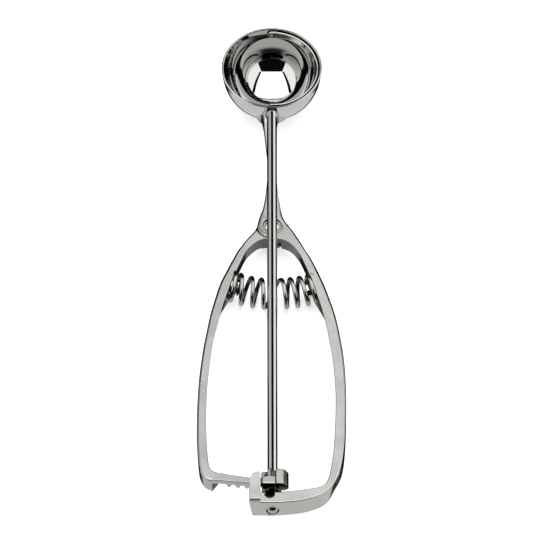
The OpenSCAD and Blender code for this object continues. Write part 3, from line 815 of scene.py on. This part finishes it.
class SCOOP_OT_scraper(bpy.types.Operator):
    """Rod with its journal and the scraper blade that it turns"""
    bl_idname = "scoop.scraper"
    bl_label = "Scraper"

    def execute(self, context):
        z = millimetres(context)
        face, seat, end = -CUP_R - 1.5, -BLADE_R, -207.4
        rod = fillet([[0.01, end], [z.rod, end], [z.rod, face], [1.4, face], [1.4, seat],
                      [1, seat], [1, seat + BLADE_THICK], [1.6, seat + BLADE_THICK],
                      [1.3, seat + 1.1], [0.7, seat + 1.36], [0.01, seat + 1.4]], 0.15)
        # The journal in the bush and the tip inside the cup are painted nearly black as shade
        painted_dark_tip = np.where(rod[:, 1] > face + 0.01, 0.95, 0.0)[:, None]
        rod = turned(rod, along="Y", around=96)
        skin("turning_rod", [rod], "spindle", "scraper_rod", "drawn_bar_steel",
             [painted_dark_tip])
        # Blade: a strip bent to a half circle from pole to pole, rounded at both ends. Its
        # section is a flattened circle, a superellipse
        a = np.linspace(-math.pi / 2 - 0.1, math.pi / 2 + 0.1, 121)[:, None]
        half = z.blade / 2 + 0.25 * ease(np.abs(a), 1.3, 1.5)
        half = half * np.sqrt(np.clip(1 - ease(np.abs(a), 1.56, 1.675) ** 2, 0.02, 1))
        q = circle(28)[None]
        flat = np.sign(np.cos(q)) * np.abs(np.cos(q)) ** 0.35
        rise = np.sign(np.sin(q)) * np.abs(np.sin(q)) ** 0.5
        lift = np.sqrt(np.maximum((BLADE_R - BLADE_THICK / 2) ** 2 - (half * flat) ** 2, 0))
        r = lift + rise * BLADE_THICK / 2
        strip = np.stack([r * np.cos(a), r * np.sin(a), half * flat + 0 * a], -1)
        # The blade's inner face towards the neck is painted nearly black as dark reflection and
        # shade
        painted_dark = 0.95 * ease(a, -0.7, -1.25) * ease(-np.sin(q), 0, 0.3)
        skin("scraper_strip", [strip], "spindle", "scraper_blade",
             "buffed_sheet_steel", [painted_dark])
        return {"FINISHED"}


def reach_of(outline, ray):
    """Distance from the axis to each ray's farthest crossing with an outline, or 0."""
    side = np.roll(outline, -1, 0) - outline
    det = ray[:, None, 0] * side[:, 1] - ray[:, None, 1] * side[:, 0]
    det = np.where(np.abs(det) < 1e-9, 1e-9, det)
    t = (outline[:, 0] * side[:, 1] - outline[:, 1] * side[:, 0]) / det
    u = (outline[:, 0] * ray[:, None, 1] - outline[:, 1] * ray[:, None, 0]) / det
    return np.where((t > 0) & (u >= 0) & (u <= 1), t, 0).max(1)


class SCOOP_OT_pinion(bpy.types.Operator):
    """Pinion with five teeth and a blank lobe, made from its outline in polar form"""
    bl_idname = "scoop.pinion"
    bl_label = "Pinion"

    def execute(self, context):
        tip, root = PITCH_R + TOOTH_TIP, PITCH_R - TOOTH_ROOT
        half = np.array([[root - 0.3, 0.78], [root, 0.72], [PITCH_R, TOOTH_PITCH / 4 - 0.075],
                         [tip, 0.42]])
        tooth = np.vstack([half, half[::-1] * (1, -1)])
        shapes = [np.array([[0.9, 2], [1.5, 4.2], [4.2, 4], [5.6, 2.6], [6.35, 1.2], [6.3, 0.4],
                            [5.2, -0.3], [2.5, -0.6]])]
        for k in range(5):
            c = math.radians(90 + MESH_LEAD + k * 360 / PINION_TEETH)
            shapes.append(tooth @ [[math.cos(c), math.sin(c)], [-math.sin(c), math.cos(c)]])
        a = circle(720)
        ray = np.stack([np.cos(a), np.sin(a)], -1)
        reach = np.maximum(root, np.max([reach_of(shape, ray) for shape in shapes], 0))
        soft = (np.roll(reach, 1) + 2 * reach + np.roll(reach, -1)) / 4
        # Each level is its place along the rod, its inset and its painted shade, which darkens the
        # end towards the foot
        low, high = PINION_Y
        levels = [(low, 0.25, 0.85), (low + 0.05, 0.1, 0.8), (low + 0.2, 0, 0.5),
                  (low + 0.6, 0, 0), (high - 0.6, 0, 0), (high - 0.2, 0, 0),
                  (high - 0.05, 0.1, 0), (high, 0.25, 0)]
        body = np.stack([np.stack([(soft - inset) * ray[:, 0], 0 * a + y,
                                   (soft - inset) * ray[:, 1]], -1) for y, inset, _ in levels])
        # The roots between the teeth are painted darker as shade
        painted_dark = [np.maximum(0.75 * (1 - ease(soft, root, PITCH_R + 0.3)), end)
                for _, _, end in levels]
        skin("toothed_pinion", [body], "spindle", "pinion", "worn_gear_steel",
             [painted_dark])
        return {"FINISHED"}


class SCOOP_OT_spring(bpy.types.Operator):
    """Bowed coil spring, and the studs that hold it"""
    bl_idname = "scoop.spring"
    bl_label = "Spring"

    def execute(self, context):
        z = millimetres(context)
        turns = (len(COIL_X) - 1) // 2
        turn = np.linspace(0, turns, 40 * turns + 1)
        x = np.interp(2 * turn, np.arange(len(COIL_X)), COIL_X)
        kernel = np.hanning(9) / np.hanning(9).sum()
        x = np.convolve(np.pad(x, 4, mode="reflect", reflect_type="odd"), kernel, "valid")
        q = circle(16)[None]
        top = math.radians(53)
        a = top - 2 * math.pi * turn

        def wire(r):
            """Points at r from the bowed middle line, whose turns lean with its slope."""
            end = np.where(x[:, None] < 0, COIL_LEFT, COIL_RIGHT)
            rise = (end - COIL_MID) * ((x / 16) ** 2)[:, None]
            lean = np.arctan(2 * rise[:, 0] / np.where(np.abs(x) < 0.01, 0.01, x))
            tilt = 0.8 * r * np.cos(a - top) * np.sin(lean) + 0.45 * np.sin(a - top)
            return np.stack([x - tilt, COIL_MID[0] + rise[:, 0] + r * np.sin(a) * np.cos(lean),
                             COIL_MID[1] + rise[:, 1] + r * np.cos(a)], -1)

        centre = wire(z.coil)
        tangent = unit(np.gradient(centre, axis=0))
        outward = wire(z.coil + 1) - centre
        outward = unit(outward - np.sum(outward * tangent, 1)[:, None] * tangent)
        side = np.cross(tangent, outward)
        c, s = np.cos(q)[..., None], np.sin(q)[..., None]
        tube = centre[:, None] + z.wire * (c * outward[:, None] + s * side[:, None])
        # Painted shade on the coil's inner side
        inward = 0.75 * ease(-np.cos(q), 0, 0.6)
        piece = skin("coil_spring", [tube], None, "return_spring",
                     "bright_spring_wire", [inward])
        # The rod stands between the coils
        laid([-2.6, -105, -4.6]).tolist()
        laid([-15.0, -104, -4.6]).tolist()
        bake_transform(piece)
        for name in ("spring_stud_fixed", "spring_stud_lever"):
            dress(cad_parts[name], "drawn_bar_steel")
        return {"FINISHED"}


# ---- stage

# What metal reflects, by the direction's parts: side to the right, away from the camera, and up.
# Each row names a value and joins its terms by a math node. A term is a number, an earlier name,
# or a name and where its smooth share is 0 and 1
LIGHT_FIELD = (
    ("turn", "ARCTAN2", "up", "away"),
    ("wide", "ABSOLUTE", "side", 0.0),
    # White panel overhead, narrower behind, with a dark frame along its sides
    ("past bend", "SUBTRACT", "turn", 1.42),
    ("bend", "MAXIMUM", "past bend", 0.0),
    ("taper", "MULTIPLY", "bend", "bend", 0.235),
    ("half width", "SUBTRACT", 0.634, "taper"),
    ("past", "SUBTRACT", "wide", "half width"),
    ("overhead", "MULTIPLY", ("turn", 1.0, 1.08), ("turn", 2.27, 2.25)),
    ("panel", "MULTIPLY", "overhead", ("past", -0.038, -0.048), 0.5),
    ("frame", "MULTIPLY", "overhead", ("past", -0.048, -0.038), ("past", 0.042, 0.032)),
    # White tent, lighter low on the right and darker low on the left
    ("right", "MULTIPLY", ("turn", 1.1, 0.95), ("side", 0.45, 0.6), 0.25),
    ("left", "MULTIPLY", ("turn", 1.1, 0.95), ("side", 0.15, -0.55), -0.45),
    ("tent", "ADD", 1.2, "panel", "right", "left"),
    # Dark room behind the camera, dark low down far off, and the gap that draws the rod's line
    ("slant", "MULTIPLY", "away", 0.69),
    ("spread", "ADD", "wide", "slant"),
    ("room", "MULTIPLY", ("turn", 2.26, 2.28), ("spread", 0.04, 0.02)),
    ("far", "MULTIPLY", ("turn", 0.79, 0.765), ("wide", 0.68, 0.62)),
    ("gap", "MULTIPLY", ("away", 0.52, 0.526), ("away", 0.561, 0.555), ("side", -0.36, -0.32),
     ("side", 0.44, 0.4)),
    ("dark", "MAXIMUM", "room", "far", "gap", "frame"),
    ("open", "SUBTRACT", 1.0, "dark"),
    ("upper", "MULTIPLY", "tent", "open", ("up", 0.1, 0.24)),
    # Below the horizon: pale under the tool, dark beyond it and behind the camera
    ("lower", "MULTIPLY", ("away", 0.48, 0.33), ("away", -0.72, -0.62), ("up", 0.06, -0.06), 0.72),
    ("both", "ADD", "upper", "lower"),
    ("power", "MAXIMUM", "both", 0.004, "camera"),
)
# Camera: its tilt in degrees, its distance in m, and how wide its view is in mm
TILT, DISTANCE, VIEW = 36.9, 8.0, 213.57


class SCOOP_OT_stage(bpy.types.Operator):
    """Pale floor, soft studio surroundings and the camera"""
    bl_idname = "scoop.stage"
    bl_label = "Stage"

    def execute(self, context):
        c = context.scene.scoop_colours
        n = 2.5
        mesh = bpy.data.meshes.new("pale_floor")
        mesh.from_pydata([(-n, -n, 0), (n, -n, 0), (n, n, 0), (-n, n, 0)], [], [(0, 1, 2, 3)])
        floor = placed("pale_floor", mesh)
        floor.visible_glossy = False
        m = bpy.data.materials.new("matt_white_paper")
        t = emptied(m)
        ray = node(t, "ShaderNodeLightPath").outputs["Is Camera Ray"]
        lift = node(t, "ShaderNodeMath", {"operation": "MULTIPLY"}, i0=ray, i1=0.56).outputs[0]
        paper = node(t, "ShaderNodeBsdfDiffuse", Color=c.floor)
        glow = node(t, "ShaderNodeEmission", Strength=lift)
        both = node(t, "ShaderNodeAddShader", i0=paper.outputs[0], i1=glow.outputs[0])
        node(t, "ShaderNodeOutputMaterial", Surface=both.outputs[0])
        mesh.materials.append(m)
        world = bpy.data.worlds.new("studio")
        context.scene.world = world
        t = emptied(world)
        place = node(t, "ShaderNodeTexCoord").outputs["Generated"]
        way = node(t, "ShaderNodeSeparateXYZ", Vector=place)
        value = dict(zip(("side", "away", "up"), way.outputs))
        value["camera"] = node(t, "ShaderNodeLightPath").outputs["Is Camera Ray"]
        for name, kind, *terms in LIGHT_FIELD:
            result = None
            for term in terms:
                if isinstance(term, tuple):
                    what, zero, one = term
                    term = node(t, "ShaderNodeMapRange", {"interpolation_type": "SMOOTHSTEP"},
                                Value=value[what], From_Min=min(zero, one),
                                From_Max=max(zero, one), To_Min=float(one < zero),
                                To_Max=float(zero < one)).outputs[0]
                else:
                    term = value.get(term, term)
                result = term if result is None else node(
                    t, "ShaderNodeMath", {"operation": kind}, i0=result, i1=term).outputs[0]
            value[name] = result
        sky = node(t, "ShaderNodeBackground", Color=(1, 1, 1, 1), Strength=value["power"])
        node(t, "ShaderNodeOutputWorld", Surface=sky.outputs[0])
        # Wide soft lamp overhead, for the shadow
        lamp = bpy.data.lights.new("soft_box", "AREA")
        lamp.shape, lamp.size, lamp.size_y, lamp.energy = "RECTANGLE", 1.6, 1.6, 12.0
        box = placed("soft_box", lamp)
        box.location = (0.0, 0.35, 1.5)
        box.rotation_euler = (-box.location).to_track_quat("-Z", "Y").to_euler()
        box.visible_glossy = False
        # Camera far off with a long lens, a little right of the middle and hardly rolled
        tilt = math.radians(TILT)
        aim = Vector(laid([-0.855, -99.16, 0.0]).tolist())
        back = laid([0, -math.sin(tilt), math.cos(tilt)]) - laid([0, 0, 0])
        back = Vector(back.tolist()).normalized()
        lens = bpy.data.cameras.new("camera")
        lens.sensor_width = 36
        lens.lens = lens.sensor_width * 1000 * DISTANCE / VIEW
        lens.clip_start, lens.clip_end = 0.1, 30
        camera = placed("camera", lens)
        turn = (-back).to_track_quat("-Z", "Y").to_matrix().to_4x4()
        turn = turn @ Matrix.Rotation(-0.0018, 4, "Z")
        camera.matrix_world = Matrix.Translation(aim + back * DISTANCE) @ turn
        context.scene.camera = camera
        context.scene.view_settings.view_transform = "Standard"
        return {"FINISHED"}


PIECES = (SCOOP_OT_cup, SCOOP_OT_fixed_casting, SCOOP_OT_lever_casting, SCOOP_OT_pins,
          SCOOP_OT_scraper, SCOOP_OT_pinion, SCOOP_OT_spring, SCOOP_OT_stage)


class SCOOP_PT_panel(bpy.types.Panel):
    """Sizes, colours and steps of the scoop"""
    bl_label = "Ice cream scoop"
    bl_idname = "SCOOP_PT_panel"
    bl_space_type = "VIEW_3D"
    bl_region_type = "UI"
    bl_category = "Scoop"

    def draw(self, context):
        for group in (context.scene.scoop_sizes, context.scene.scoop_colours):
            column = self.layout.column(align=True)
            for key in group.bl_rna.properties.keys():
                if key not in ("rna_type", "name"):
                    column.prop(group, key)
        for piece in PIECES:
            self.layout.operator(piece.bl_idname)


CLASSES = (ScoopSizes, ScoopColours, *PIECES, SCOOP_PT_panel)


def register():
    for cls in CLASSES:
        bpy.utils.register_class(cls)
    bpy.types.Scene.scoop_sizes = bpy.props.PointerProperty(type=ScoopSizes)
    bpy.types.Scene.scoop_colours = bpy.props.PointerProperty(type=ScoopColours)


def unregister():
    del bpy.types.Scene.scoop_colours
    del bpy.types.Scene.scoop_sizes
    for cls in reversed(CLASSES):
        bpy.utils.unregister_class(cls)


def main():
    """Makes every piece over the loaded frame."""
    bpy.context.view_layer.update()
    register()
    for piece in PIECES:
        group, name = piece.bl_idname.split(".")
        getattr(getattr(bpy.ops, group), name)()


if __name__ == "__main__":
    main()
